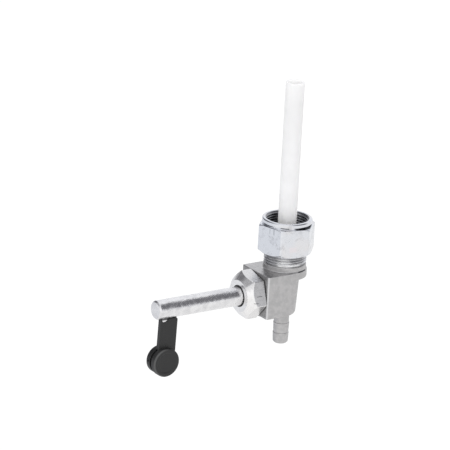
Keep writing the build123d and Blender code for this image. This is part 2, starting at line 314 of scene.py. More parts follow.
def cast_skin():
    """Satin grey as-cast alloy: soft clouds, fine pebbling, bright flecks and a darker, smoother top face;
    painted shade in concave corners, beside the gland nut and round the shoulder's foot, and a painted
    highlight on the front-left edge.
    """
    finish, tree, shader = new_finish("cast_alloy", Metallic=0.9)
    clouds = grain(tree, 1.8, 4.0)
    pebbles = grain(tree, 0.35, 3.0)
    flecks = grain(tree, 0.4, 1.0)
    place = use(tree, UPRIGHT)
    satin = clouded(tree, clouds, CAST_DULL, CAST_PALE)
    flecked = mix_colour(tree, spread(tree, flecks, 0.68, 0.80, 0.0, 0.7), satin, CAST_BRIGHT)
    # Painted shade: the casting's concave corners and creases are darkened.
    bend = add(tree, "ShaderNodeNewGeometry").outputs["Pointiness"]
    corner_shaded = mix_colour(tree, spread(tree, bend, CORNER_FROM, CORNER_FULL), flecked, CAST_DARK)
    # Painted shade on the block's face beside the gland nut, and round the shoulder's foot on the block's top.
    gland_side_shade = spread(tree, place["X"], GLAND_SIDE_X + 0.1, GLAND_SIDE_X + 0.35, 0.35, 0.0)
    foot_shade = times(
        tree, window(tree, place["Radius"], SHOULDER_RADIUS, SHOULDER_RADIUS + 0.2, 0.2),
        window(tree, place["Height"], BLOCK_TOP_Z - 0.1, BLOCK_TOP_Z + 0.2, 0.15),
        window(tree, place["X"], *FOOT_SHADE_ACROSS, 0.8),
    )
    # Painted highlight: a thin bright line down the block's front-left edge.
    edge_highlight = times(
        tree, window(tree, place["X"], GLAND_SIDE_X + 0.35, GLAND_SIDE_X + 0.65, 0.3),
        spread(tree, place["Y"], BLOCK_FRONT_Y + 0.3, BLOCK_FRONT_Y + 0.9, 0.6, 0.0),
    )
    highlighted = mix_colour(tree, edge_highlight, corner_shaded, CAST_BRIGHT)
    dark = mix_colour(tree, larger(tree, gland_side_shade, foot_shade), highlighted, CAST_DARK)
    faced = times(
        tree, spread(tree, face_direction(tree)["Z"], 0.97, 0.995),
        spread(tree, place["Height"], BLOCK_TOP_Z - 0.3, BLOCK_TOP_Z - 0.1),
    )
    colour = mix_colour(tree, times(tree, faced, FACED_SHADE), dark, CAST_DARK)
    rough = wander(tree, pebbles, 0.42, 0.55)
    dress(tree, shader, colour, arithmetic(tree, "SUBTRACT", rough, times(tree, faced, FACED_POLISH)))
    raise_skin(tree, shader, pebbles, 0.5, 0.05)
    return finish


cast_finish = cast_skin()
show("cast_body", cast_mesh(), "tap", cast_finish, "cast_alloy", "tap_body")

# Threaded spigot
# The top of the same casting, turned and cut with a fine 16 mm thread. A wide well in its top lets fuel reach
# the small reserve drilling beside the standpipe.
THREAD_CREST = 7.9
THREAD_DEPTH = 0.55
THREAD_PITCH = 1.0
THREAD_FLANK_FROM = 0.08
THREAD_FLANK = 0.8
SPIGOT_TOP_Z = BODY_HIGH.z
SPIGOT_CHAMFER = 0.6
SPIGOT_SUNK = 0.5
WELL_RADIUS = 5.6
WELL_FLOOR_Z = -11.2
SEAT_RADIUS = 3.47
RESERVE_HOLE_RADIUS = 0.8
RESERVE_HOLE_X = -4.7
SPIGOT_LIP = 0.3
THREAD_STEP = THREAD_PITCH / 12
THREAD_SIDES = 144
FULL_TURN = 2 * math.pi


def along_z(angle, radius, height):
    """Point round the thread axis, in millimetres."""
    return (radius * math.cos(angle), radius * math.sin(angle), height)


def along_reserve_hole(angle, radius, height):
    """Point round the reserve drilling's axis, in millimetres."""
    return (RESERVE_HOLE_X + radius * math.cos(angle), radius * math.sin(angle), height)


def skin(name, rings, place, loop=False):
    """Mesh through rings of points, put in place one by one. Its ends meet if loop is set, or else close."""
    bm = bmesh.new()
    rows = [[bm.verts.new(Vector(place(*point)) * MM) for point in ring] for ring in rings]
    count = len(rows[0])
    pairs = list(zip(rows, rows[1:]))
    if loop:
        pairs.append((rows[-1], rows[0]))
    for low, high in pairs:
        for i in range(count):
            j = (i + 1) % count
            bm.faces.new((low[i], low[j], high[j], high[i]))
    if not loop:
        for row in (rows[0], rows[-1]):
            bm.faces.new(row)
    bmesh.ops.remove_doubles(bm, verts=bm.verts, dist=0.0002 * MM)
    return finished_mesh(name, bm)


def circle(radius, height, angles):
    """Ring of points at one radius and height."""
    return [(angle, radius, height) for angle in angles]


def even_angles(count):
    """Angles evenly spaced round a full turn."""
    return [FULL_TURN * i / count for i in range(count)]


def rounded(points, steps=3):
    """Outline whose corners, given as (radius, height, rounding), are eased by short curves."""
    eased = []
    last = len(points) - 1
    for i, (radius, height, rounding) in enumerate(points):
        if rounding == 0 or i in (0, last):
            eased.append((radius, height))
            continue
        corner = Vector((radius, height))
        before = Vector(points[i - 1][:2]) - corner
        after = Vector(points[i + 1][:2]) - corner
        reach = min(rounding, 0.45 * before.length, 0.45 * after.length)
        eased += corner_curve(corner, before.normalized() * reach, after.normalized() * reach, steps)
    return eased


def corner_curve(corner, before, after, steps):
    """Points of the curve that cuts a corner, from its first side to its second."""
    start = corner + before
    end = corner + after
    shares = [step / steps for step in range(steps + 1)]
    return [tuple(start * (1 - s) ** 2 + corner * 2 * s * (1 - s) + end * s**2) for s in shares]


def turned(name, outline, place, count=96, steps=3, loop=False):
    """Mesh turned from an outline of (radius, height, rounding) points."""
    angles = even_angles(count)
    rings = [circle(radius, height, angles) for radius, height in rounded(outline, steps)]
    return skin(name, rings, place, loop)


def ridge(height, angle):
    """How far up the thread's flank a point lies, from 0 at the root to 1 at the crest."""
    turns = height / THREAD_PITCH - angle / FULL_TURN
    wave = abs(2 * (turns - math.floor(turns)) - 1)
    return min(1.0, max(0.0, (wave - THREAD_FLANK_FROM) / THREAD_FLANK))


def spigot_mesh():
    """Thread and well of the spigot, with the reserve drilling cut through its floor."""
    angles = even_angles(THREAD_SIDES)
    root = THREAD_CREST - THREAD_DEPTH
    low_z = THREAD_START_Z - SPIGOT_SUNK
    rings = [circle(SEAT_RADIUS, low_z, angles), circle(root, low_z, angles)]
    height = THREAD_START_Z - THREAD_PITCH / 3
    while height < SPIGOT_TOP_Z - SPIGOT_CHAMFER:
        run_in = min(1.0, max(0.0, (height - THREAD_START_Z) / (0.5 * THREAD_PITCH)))
        depth = THREAD_DEPTH * run_in
        rings.append([(a, root + depth * ridge(height, a), height) for a in angles])
        height += THREAD_STEP
    top = [
        (root, SPIGOT_TOP_Z - 0.1, 0), (root - SPIGOT_LIP, SPIGOT_TOP_Z, 0.1),
        (WELL_RADIUS, SPIGOT_TOP_Z, 0.1), (WELL_RADIUS, WELL_FLOOR_Z, 0.2),
        (SEAT_RADIUS, WELL_FLOOR_Z, 0.1), (SEAT_RADIUS, low_z + 0.1, 0),
    ]
    rings += [circle(r, h, angles) for r, h in rounded(top)]
    blank = put("spigot_blank", skin("spigot_blank", rings, along_z, loop=True))
    hole = [(RESERVE_HOLE_RADIUS, WELL_FLOOR_Z + 1, 0), (RESERVE_HOLE_RADIUS, low_z - 1, 0)]
    drill = put("reserve_drill", turned("reserve_drill", hole, along_reserve_hole, 32))
    cut = blank.modifiers.new("drill", "BOOLEAN")
    cut.object = drill
    cut.solver = "EXACT"
    mesh = worked_mesh(blank)
    bpy.data.objects.remove(drill)
    mesh.name = "spigot"
    return mesh


CUT_ROOT = (0.34, 0.34, 0.35, 1)
CUT_CREST = (0.74, 0.74, 0.75, 1)
CUT_CLOUD = (0.55, 0.55, 0.56, 1)
HIGHLIGHT_ROOT = (0.60, 0.60, 0.61, 1)
HIGHLIGHT_CREST = (0.97, 0.97, 0.97, 1)
LAST_TURN_HIGHLIGHT = (1.0, 1.0, 1.0, 1)
LAST_TURN_UP = (THREAD_START_Z + 0.3, THREAD_START_Z + 1.2)
LAST_TURN_ACROSS = (-5.8, 1.5)
HIGHLIGHT_ACROSS = (-2.2, -0.8)


def cut_alloy():
    """Machined casting: the same alloy, paler on the crests, with painted shade in the thread's roots and
    painted highlights across its middle and along its last turn.
    """
    finish, tree, shader = new_finish("cut_alloy", Metallic=1.0)
    clouds = grain(tree, 1.1, 3.0, (1, 1, 0.3))
    place = use(tree, UPRIGHT)
    # Painted shade: the thread's roots are darker than its crests.
    crest = spread(tree, place["Radius"], THREAD_CREST - THREAD_DEPTH, THREAD_CREST)
    metal = mix_colour(tree, crest, CUT_ROOT, CUT_CREST)
    tone = mix_colour(tree, spread(tree, clouds, 0.4, 0.7, 0.0, 0.6), metal, CUT_CLOUD)
    # Painted highlight: a broad paler band across the middle of the thread, its edges wandering with the
    # clouds.
    uneven = arithmetic(tree, "ADD", place["X"], times(tree, clouds, 6.0))
    highlit = mix_colour(tree, crest, HIGHLIGHT_ROOT, HIGHLIGHT_CREST)
    banded = mix_colour(tree, window(tree, uneven, *HIGHLIGHT_ACROSS, 1.6), tone, highlit)
    # Painted highlight: a white line along the thread's last turn, on the front.
    front = window(tree, place["X"], *LAST_TURN_ACROSS, 1.2)
    last_turn_highlight = times(tree, window(tree, place["Height"], *LAST_TURN_UP, 0.15), front)
    colour = mix_colour(tree, last_turn_highlight, banded, LAST_TURN_HIGHLIGHT)
    dress(tree, shader, colour, wander(tree, clouds, 0.25, 0.42))
    raise_skin(tree, shader, clouds, 0.3, 0.03)
    return finish


show("spigot", spigot_mesh(), "tap", cut_alloy(), "cast_alloy", "tap_body")

# Hose barb
# The lower end of the casting, turned to two saw-tooth crests that hold the fuel hose, and drilled through.
BARB_TIP_Z = BODY_LOW.z
BARB_CREST = 2.975
BARB_NECK = 2.8
BARB_PITCH = 3.9
BARB_LOWEST_CREST = 4.1
BARB_TIP_CHAMFER = 0.6
BARB_SUNK = 0.6
FUEL_BORE = 1.5


def barb_mesh():
    """Neck, crests and tip outside, and the fuel bore inside."""
    top_z = BLOCK_LOW_Z + BARB_SUNK
    step = BARB_CREST - BARB_NECK
    wall = [(FUEL_BORE, top_z, 0), (BARB_NECK, top_z, 0)]
    for i in (1, 0):
        crest_z = BARB_TIP_Z + BARB_LOWEST_CREST + i * BARB_PITCH
        wall += [(BARB_NECK, crest_z + step / 2, 0.03), (BARB_CREST, crest_z, 0.05)]
    wall += [
        (BARB_NECK, BARB_TIP_Z + BARB_TIP_CHAMFER, 0.15), (BARB_NECK - BARB_TIP_CHAMFER, BARB_TIP_Z, 0.1),
        (FUEL_BORE, BARB_TIP_Z, 0.1), (FUEL_BORE, BARB_TIP_Z + 1, 0),
    ]
    return turned("hose_barb", wall, along_z, loop=True)


show("hose_barb", barb_mesh(), "tap", cast_finish, "cast_alloy", "tap_body")

# Standpipe
# A plain length of extruded white nylon tube, pressed into the casting and cut off square at its open top.
# Fuel enters it there while the tap is on, and the last of it only through the reserve drilling.
TUBE_RADIUS = 3.45
TUBE_BORE = 2.5
TUBE_SEAM_Z = -10.0
TUBE_FOOT_Z, TUBE_TOP_Z = (corner.z for corner in limits("standpipe"))
NYLON_DULL = (0.89, 0.885, 0.885, 1)
NYLON_PALE = (0.925, 0.92, 0.92, 1)
NYLON_TOP_SHADE = (0.80, 0.795, 0.795, 1)
BORE_PAINTED_LIGHT = 0.09


def standpipe_mesh():
    """Tube with slightly rounded ends."""
    wall = [
        (TUBE_RADIUS, TUBE_SEAM_Z, 0), (TUBE_RADIUS, TUBE_TOP_Z, 0.15), (TUBE_BORE, TUBE_TOP_Z, 0.15),
        (TUBE_BORE, TUBE_FOOT_Z, 0.1), (TUBE_RADIUS, TUBE_FOOT_Z, 0.1), (TUBE_RADIUS, TUBE_SEAM_Z - 1, 0),
    ]
    return turned("standpipe_tube", wall, along_z, loop=True)


def nylon():
    """Milky nylon with faint drawing lines that light passes into; greyer towards the top as painted shade,
    with painted light on the bore near its open end.
    """
    finish, tree, shader = new_finish(
        "white_nylon", IOR=1.5, Emission_Strength=BORE_PAINTED_LIGHT,
        Subsurface_Weight=0.6, Subsurface_Radius=(1.0, 1.0, 0.95), Subsurface_Scale=2 * MM,
    )
    lines = grain(tree, 0.5, 2.0, (1, 1, 60))
    place = use(tree, UPRIGHT)
    milky = clouded(tree, grain(tree, 6.0, 2.0), NYLON_DULL, NYLON_PALE)
    # Painted shade: the tube greys towards its top.
    colour = mix_colour(tree, spread(tree, place["Height"], 5.0, TUBE_TOP_Z, 0.0, 0.6), milky, NYLON_TOP_SHADE)
    # Painted light: the bore's wall near the open top glows faintly.
    glow = times(
        tree, spread(tree, place["Radius"], TUBE_BORE + 0.02, TUBE_BORE + 0.12, 1.0, 0.0),
        spread(tree, place["Height"], TUBE_TOP_Z - 9, TUBE_TOP_Z - 0.5),
    )
    tree.links.new(glow, shader.inputs["Emission Color"])
    dress(tree, shader, colour, wander(tree, lines, 0.36, 0.48))
    raise_skin(tree, shader, lines, 0.25, 0.03)
    return finish


show("standpipe_tube", standpipe_mesh(), "tap", nylon(), "white_nylon", "standpipe")

# Tank washer
# A flat black nitrile ring with rounded edges. It lies on the spigot's top, where the coupling nut squeezes it
# against the tank's neck.
WASHER_OUTER = 7.55
WASHER_HOLE = 5.7
WASHER_LOW_Z = -7.19
WASHER_HIGH_Z = -5.7
RUBBER_BLACK = (0.018, 0.018, 0.019, 1)
RUBBER_BLOOM = (0.045, 0.045, 0.045, 1)


def rubber():
    """Black rubber with a dusty bloom and a fine moulded grain."""
    finish, tree, shader = new_finish("black_rubber", IOR=1.5)
    fine = grain(tree, 0.12, 2.0)
    bloom = spread(tree, grain(tree, 1.6, 4.0), 0.4, 0.75)
    colour = mix_colour(tree, bloom, RUBBER_BLACK, RUBBER_BLOOM)
    dress(tree, shader, colour, wander(tree, fine, 0.5, 0.7))
    raise_skin(tree, shader, fine, 0.3, 0.02)
    return finish


def ring_mesh(name, place, inner, outer, low, high, easing):
    """Flat ring with eased edges."""
    half_way = (low + high) / 2
    wall = [(outer, half_way, 0), (outer, high, easing), (inner, high, easing), (inner, low, easing)]
    wall += [(outer, low, easing), (outer, half_way - 0.02, 0)]
    return turned(name, wall, place, loop=True)


rubber_finish = rubber()
neck_seal = ring_mesh("neck_seal", along_z, WASHER_HOLE, WASHER_OUTER, WASHER_LOW_Z, WASHER_HIGH_Z, 0.3)
show("neck_seal", neck_seal, "tap", rubber_finish, "black_rubber", "tank_washer")

# Coupling nut
# A steel hexagon nut, turned, threaded and bright zinc plated. A plain rim stands above the flats with a fine
# groove under it, and spanners have left shallow marks on its faces.
NUT_FLATS = 19.0
NUT_CORNER_ANGLE = 44.7
NUT_CORNER_ROUND = 0.55
NUT_LOW_Z = limits("coupling_nut")[0].z
NUT_HEX_TOP_Z = -2.2
NUT_TOP_RADIUS = 10.3
NUT_TOP_RISE = 0.4
NUT_FOOT_RADIUS = 8.95
NUT_FOOT_RISE = 1.5
NUT_GROOVE_RADIUS = 8.8
NUT_RIM_RADIUS = 9.3
NUT_RIM_LOW_Z = -1.5
NUT_RIM_CHAMFER = 0.35
NUT_MOUTH_RADIUS = 8.1
NUT_BORE = 7.98
NUT_THREAD_MINOR = 7.42
NUT_THREAD_TOP_Z = -0.35
NUT_THREAD_LOW_Z = -5.5
EDGE = 0.14


def hexagon(flats, corner_round, corner_angle, along_flat=7, round_corner=4):
    """(angle, radius) points of a hexagon with rounded corners."""
    half = flats / 2
    half_side = math.radians(30)
    corner_centre = (half - corner_round) / math.cos(half_side)
    flat_end = math.atan((half - corner_round) * math.tan(half_side) / half)
    offsets = [flat_end * (2 * i / along_flat - 1) for i in range(along_flat + 1)]
    radii = [half / math.cos(offset) for offset in offsets]
    for i in range(1, 2 * round_corner):
        offset = flat_end + (half_side - flat_end) * i / round_corner
        across = corner_centre * math.sin(half_side - offset)
        offsets.append(offset)
        radii.append(corner_centre * math.cos(half_side - offset) + math.sqrt(corner_round**2 - across**2))
    points = []
    for side in range(6):
        flat_angle = math.radians(corner_angle + 30 + 60 * side)
        points += [(flat_angle + offset, radius) for offset, radius in zip(offsets, radii)]
    return points


def coned_edge(outline, face_radius, face_height, rise, inward):
    """Rings over a turned chamfer, from the end face to the flats. inward is +1 or -1 along the axis."""
    slope = rise / (max(radius for _, radius in outline) - face_radius)
    run = Vector((1, slope)).normalized() * EDGE
    rings = [[] for _ in range(6)]
    for angle, radius in outline:
        foot = Vector((min(face_radius, radius - EDGE), 0))
        meet = Vector((radius, (radius - foot.x) * slope))
        before = foot - Vector((EDGE, 0))
        beyond = meet + Vector((0, EDGE))
        near_foot = foot * 0.5 + (before + foot + run) * 0.25
        near_meet = meet * 0.5 + (meet - run + beyond) * 0.25
        stations = (before, near_foot, foot + run, meet - run, near_meet, beyond)
        for ring, station in zip(rings, stations):
            ring.append((angle, station.x, face_height + inward * station.y))
    return rings


def coupling_nut_mesh():
    """Nut from its lower face, up the flats and over the rim, then down the thread inside."""
    outline = hexagon(NUT_FLATS, NUT_CORNER_ROUND, NUT_CORNER_ANGLE)
    angles = [angle for angle, _ in outline]
    rings = [circle(NUT_BORE + 0.5, NUT_LOW_Z, angles)]
    rings += coned_edge(outline, NUT_FOOT_RADIUS, NUT_LOW_Z, NUT_FOOT_RISE, 1)
    rings += coned_edge(outline, NUT_TOP_RADIUS, NUT_HEX_TOP_Z, NUT_TOP_RISE, -1)[::-1]
    rim = [
        (NUT_GROOVE_RADIUS + 0.3, NUT_HEX_TOP_Z, 0), (NUT_GROOVE_RADIUS, NUT_HEX_TOP_Z, 0.05),
        (NUT_GROOVE_RADIUS, NUT_RIM_LOW_Z, 0.1), (NUT_RIM_RADIUS, NUT_RIM_LOW_Z, 0.15),
        (NUT_RIM_RADIUS, -NUT_RIM_CHAMFER, 0.12), (NUT_RIM_RADIUS - NUT_RIM_CHAMFER, 0, 0.12),
        (NUT_MOUTH_RADIUS, 0, 0.1), (NUT_MOUTH_RADIUS, NUT_THREAD_TOP_Z + 0.05, 0),
    ]
    rings += [circle(r, h, angles) for r, h in rounded(rim)]
    height = NUT_THREAD_TOP_Z
    while height > NUT_THREAD_LOW_Z:
        fade = min(1.0, (NUT_THREAD_TOP_Z + 0.15 - height) / 0.6, (height - NUT_THREAD_LOW_Z) / 0.4)
        depth = (NUT_BORE - NUT_THREAD_MINOR) * max(0.0, fade)
        rings.append([(a, NUT_BORE - depth * ridge(height, a), height) for a in angles])
        height -= THREAD_STEP
    rings += [circle(NUT_BORE, z, angles) for z in (NUT_THREAD_LOW_Z - 0.1, NUT_LOW_Z + 0.45)]
    return skin("plated_nut", rings, along_z, loop=True)


def make_scuffs():
    """Mask of short curved rub marks in patches, as tools and handling leave on plating."""
    inputs = [("Size", "NodeSocketFloat", 2.5), ("Width", "NodeSocketFloat", 0.06)]
    inputs.append(("Cover", "NodeSocketFloat", 0.5))
    group, given, result = new_group("scuffs", inputs, [("Mask", "NodeSocketFloat")])
    place = place_in_mm(group)
    drift = add(group, "ShaderNodeTexNoise", {"Vector": place, "Scale": 0.35, "Detail": 2.0}).outputs["Color"]
    bent = vectors(group, "ADD", place, vectors(group, "MULTIPLY", drift, (6, 6, 6))[0])[0]
    scale = arithmetic(group, "DIVIDE", 1.0, given.outputs["Size"])
    cells = add(group, "ShaderNodeTexVoronoi", {"Vector": bent, "Scale": scale}, feature="DISTANCE_TO_EDGE")
    line = spread(group, cells.outputs["Distance"], 0.0, given.outputs["Width"], 1.0, 0.0)
    patches = add(group, "ShaderNodeTexNoise", {"Vector": place, "Scale": 0.28, "Detail": 3.0}).outputs[0]
    limit = arithmetic(group, "SUBTRACT", 1.0, given.outputs["Cover"])
    higher = arithmetic(group, "ADD", limit, 0.12)
    cover = add(group, "ShaderNodeMapRange", {"Value": patches, "From Min": limit, "From Max": higher})
    group.links.new(times(group, line, cover.outputs[0]), result.inputs["Mask"])
    return group


SCUFFS = make_scuffs()
ZINC_COOL = (0.745, 0.76, 0.795, 1)
ZINC_WARM = (0.775, 0.765, 0.775, 1)
ZINC_LEFT_LIT = (0.795, 0.81, 0.845, 1)
NUT_GRIME_AND_SHADE = (0.05, 0.052, 0.058, 1)
NUT_BORE_SHADE = (0.21, 0.212, 0.22, 1)
NUT_MARK = (0.38, 0.39, 0.42, 1)
NUT_BLUSH = (0.81, 0.755, 0.775, 1)
NUT_CREST = (0.62, 0.63, 0.65, 1)
BLUSH_ACROSS = (-4.0, -2.2)
BLUSH_UP = (-10.2, -9.1)
STREAKS_UP = (-4.3, -2.6)
NEAR_STREAK = (-4.5, -4.1)
FAR_STREAK = (-2.5, -2.35)
GROOVE_GAP_LEFT = (-8.0, -6.9)
GROOVE_GAP_FRONT = (-4.1, -2.7)


def bright_zinc():
    """Bluish bright plating, warm in places, with rub marks and dark streaks; painted light on its left face,
    grime and painted shade in its groove, painted shade in its thread.
    """
    finish, tree, shader = new_finish("bright_plate", Metallic=1.0)
    cloud = grain(tree, 1.8, 4.0)
    marks = use(tree, SCUFFS, Size=3.2, Width=0.22, Cover=0.5)["Mask"]
    radius, height, x, y = use(tree, UPRIGHT)
    cool = mix_colour(tree, spread(tree, grain(tree, 7.0, 2.0), 0.42, 0.66), ZINC_COOL, ZINC_WARM)
    # Painted light: the nut's left face is lighter and bluer.
    left_lit = mix_colour(tree, spread(tree, x, -8.0, -6.5, 1.0, 0.0), cool, ZINC_LEFT_LIT)
    blush = times(
        tree, window(tree, x, *BLUSH_ACROSS, 0.9), window(tree, height, *BLUSH_UP, 0.9),
        spread(tree, y, -2.0, 0.0, 0.7, 0.0),
    )
    tinted = mix_colour(tree, blush, left_lit, NUT_BLUSH)
    marked = mix_colour(tree, times(tree, marks, 0.3), tinted, NUT_MARK)
    # Two short dark upright streaks on the left face near the top.
    streaks = larger(tree, window(tree, y, *FAR_STREAK, 0.2), window(tree, y, *NEAR_STREAK, 0.25))
    left_face = spread(tree, x, -8.2, -7.8, 0.5, 0.0)
    on_left = times(tree, streaks, window(tree, height, *STREAKS_UP, 0.5), left_face)
    streaked = mix_colour(tree, on_left, marked, NUT_MARK)
    # Grime and painted shade in the groove under the rim, left out in two gaps.
    shallow = arithmetic(tree, "ADD", height, spread(tree, x, -2.4, -1.4, -0.3, 0.0))
    banded = larger(tree, window(tree, x, *GROOVE_GAP_LEFT, 0.4), window(tree, x, *GROOVE_GAP_FRONT, 0.4))
    in_groove = times(
        tree, window(tree, shallow, NUT_HEX_TOP_Z, NUT_RIM_LOW_Z + 0.02, 0.06),
        spread(tree, radius, NUT_GROOVE_RADIUS + 0.1, NUT_GROOVE_RADIUS + 0.35, 1.0, 0.0),
        arithmetic(tree, "SUBTRACT", 1.0, banded),
    )
    grooved = mix_colour(tree, in_groove, streaked, NUT_GRIME_AND_SHADE)
    # Painted shade inside the bore: the thread is dark with paler crests, and lighter towards +X as painted
    # light.
    crest = spread(tree, radius, NUT_THREAD_MINOR, NUT_BORE, 1.0, 0.0)
    bore_shaded = mix_colour(tree, times(tree, crest, spread(tree, x, -2.0, 5.0, 0.3, 0.8)), NUT_BORE_SHADE, NUT_CREST)
    inside = times(
        tree, spread(tree, radius, NUT_BORE + 0.02, NUT_BORE + 0.1, 1.0, 0.0),
        spread(tree, height, NUT_THREAD_TOP_Z, NUT_THREAD_TOP_Z + 0.2, 1.0, 0.0),
    )
    rough = arithmetic(tree, "ADD", spread(tree, cloud, 0.35, 0.7, 0.12, 0.26), times(tree, marks, 0.1))
    dress(tree, shader, mix_colour(tree, inside, grooved, bore_shaded), rough)
    raise_skin(tree, shader, arithmetic(tree, "SUBTRACT", cloud, times(tree, marks, 0.4)), 0.35, 0.05)
    return finish


show("plated_nut", coupling_nut_mesh(), "coupling_nut", bright_zinc(), "bright_plate", "coupling_nut")

# Gland washer
# A ring stamped from pressed fibre, dark with fuel. The gland nut clamps it against the casting, and it seals
# the spindle's chamber.


def middle(node):
    """Centre of a CAD piece at rest, in millimetres."""
    low, high = limits(node)
    return (low + high) / 2


SPINDLE_Z = middle("thrust_washer").z
GLAND_BACK_X, GLAND_SEAT_X = (corner.x for corner in limits("gland_washer"))
GLAND_RING_HOLE = 6.02
GLAND_RING_OUTER = 7.0
FIBRE_DARK = (0.15, 0.145, 0.14, 1)
FIBRE_PALE = (0.25, 0.24, 0.23, 1)


def along_x(angle, radius, height):
    """Point round the spindle's axis, in millimetres; the angle runs from +Y towards +Z."""
    return (height, radius * math.cos(angle), SPINDLE_Z + radius * math.sin(angle))


def fibre():
    """Dark pressed fibre with short strands."""
    finish, tree, shader = new_finish("grey_fibre", IOR=1.45)
    strands = grain(tree, 0.25, 3.0, (1, 3, 3))
    colour = mix_colour(tree, spread(tree, strands, 0.35, 0.7), FIBRE_DARK, FIBRE_PALE)
    dress(tree, shader, colour, wander(tree, strands, 0.7, 0.9))
    raise_skin(tree, shader, strands, 0.4, 0.03)
    return finish


gland_ring = ring_mesh(
    "gland_ring", along_x, GLAND_RING_HOLE, GLAND_RING_OUTER, GLAND_BACK_X + 0.01, GLAND_SEAT_X - 0.01, 0.08
)
show("gland_ring", gland_ring, "tap", fibre(), "grey_fibre", "gland_washer")

# Gland nut
# A hexagon nut turned from bar, with a long bright cone on its front, screwed into the casting over the
# spindle's flange. Its face keeps the rings of the turning tool.
GLAND_FLATS = 15.85
GLAND_CORNER_ANGLE = 12.8
GLAND_CORNER_ROUND = 0.3
GLAND_FRONT_X, GLAND_SHANK_X = (corner.x for corner in limits("gland_nut"))
GLAND_FACE_RADIUS = 6.0
GLAND_CONE_LENGTH = 2.7
GLAND_SHANK_RADIUS = 6.0
GLAND_BORE = 3.63
SEAL_POCKET_RADIUS = 4.07
SEAL_POCKET_X = limits("stem_seal")[1].x
TURNED_DULL = (0.87, 0.86, 0.855, 1)
TURNED_PALE = (0.93, 0.92, 0.915, 1)
TURNED_DARK_GREY = (0.40, 0.40, 0.41, 1)
TURNED_NICK = (0.16, 0.16, 0.17, 1)
UPPER_NICK_ACROSS = (-16.8, -14.9)
UPPER_NICK_Z = -26.2
LOWER_NICK_ACROSS = (-18.1, -16.8)
LOWER_NICK_Z = -28.5


def gland_nut_mesh():
    """Nut from its bore, over the front face and cone, along the flats, to the shank inside the casting."""
    outline = hexagon(GLAND_FLATS, GLAND_CORNER_ROUND, GLAND_CORNER_ANGLE)
    angles = [angle for angle, _ in outline]
    inside = [
        (GLAND_BORE, GLAND_SHANK_X, 0), (GLAND_BORE, SEAL_POCKET_X, 0),
        (SEAL_POCKET_RADIUS, SEAL_POCKET_X, 0), (SEAL_POCKET_RADIUS, GLAND_FRONT_X, 0.12),
        (GLAND_FACE_RADIUS - 0.5, GLAND_FRONT_X, 0),
    ]
    rings = [circle(r, h, angles) for r, h in rounded(inside)]
    rings += coned_edge(outline, GLAND_FACE_RADIUS, GLAND_FRONT_X, GLAND_CONE_LENGTH, 1)
    for shrink, back in ((0.0, 0.16), (0.05, 0.05), (0.16, 0.0)):
        rings.append([(angle, radius - shrink, GLAND_BACK_X - back) for angle, radius in outline])
    rings += [circle(GLAND_SHANK_RADIUS, x, angles) for x in (GLAND_BACK_X, GLAND_SHANK_X)]
    return skin("turned_gland", rings, along_x, loop=True)


def make_tool_lines():
    """Height of fine turning rings. Along is the place across the rings, in millimetres."""
    inputs = [("Along", "NodeSocketFloat", 0.0), ("Pitch", "NodeSocketFloat", 0.12)]
    group, given, result = new_group("tool_lines", inputs, [("Height", "NodeSocketFloat")])
    turns = arithmetic(group, "DIVIDE", given.outputs["Along"], given.outputs["Pitch"])
    bands = add(group, "ShaderNodeTexNoise", {"W": turns, "Scale": 1.0, "Detail": 2.0}, noise_dimensions="1D")
    group.links.new(bands.outputs[0], result.inputs["Height"])
    return group


TOOL_LINES = make_tool_lines()


def spindle_radius(tree):
    """Distance from the spindle's axis, in millimetres."""
    across = vectors(tree, "MULTIPLY", place_in_mm(tree), (0, 1, 1))[0]
    centred = vectors(tree, "SUBTRACT", across, (0, 0, SPINDLE_Z))[0]
    return vectors(tree, "LENGTH", centred)["Value"]


def nick(tree, place, across, low):
    """1 inside a small flat nick between two places along the nut."""
    beside = window(tree, place["X"], *across, 0.4)
    return times(tree, beside, window(tree, place["Height"], low, low + 0.15, 0.15))


def turned_plate():
    """Turned and plated steel, nearly white, with tool rings on the face, rub marks, small nicks on the flats
    and painted shade on the flats.
    """
    finish, tree, shader = new_finish("turned_bright", Metallic=1.0)
    cloud = grain(tree, 1.5, 4.0)
    rings = use(tree, TOOL_LINES, Along=spindle_radius(tree), Pitch=0.14)["Height"]
    marks = use(tree, SCUFFS, Size=1.8, Width=0.08, Cover=0.42)["Mask"]
    place = use(tree, UPRIGHT)
    pale = clouded(tree, cloud, TURNED_DULL, TURNED_PALE)
    marked = mix_colour(tree, times(tree, marks, 0.6), pale, TURNED_DARK_GREY)
    # Painted shade: the hexagon's flats are darker than its cone and face.
    on_flats = spread(tree, face_direction(tree)["X"], -0.4, -0.2, 0.0, 0.24)
    flats_shaded = mix_colour(tree, on_flats, marked, TURNED_DARK_GREY)
    upper_nick = nick(tree, place, UPPER_NICK_ACROSS, UPPER_NICK_Z)
    lower_nick = nick(tree, place, LOWER_NICK_ACROSS, LOWER_NICK_Z)
    front = spread(tree, place["Y"], -7.0, -6.5, 0.7, 0.0)
    on_front = times(tree, larger(tree, upper_nick, lower_nick), front)
    colour = mix_colour(tree, on_front, flats_shaded, TURNED_NICK)
    dress(tree, shader, colour, wander(tree, cloud, 0.22, 0.34))
    raise_skin(tree, shader, arithmetic(tree, "SUBTRACT", rings, marks), 0.25, 0.03)
    return finish


show("turned_gland", gland_nut_mesh(), "tap", turned_plate(), "turned_bright", "gland_nut")

# Stem seal
# A thin sleeve of black rubber, pushed into the gland nut's mouth. It wipes the rod as it turns and keeps dirt
# out of the chamber.
SEAL_BORE = 3.6
SEAL_OUTER = 4.05
SEAL_EASING = 0.12

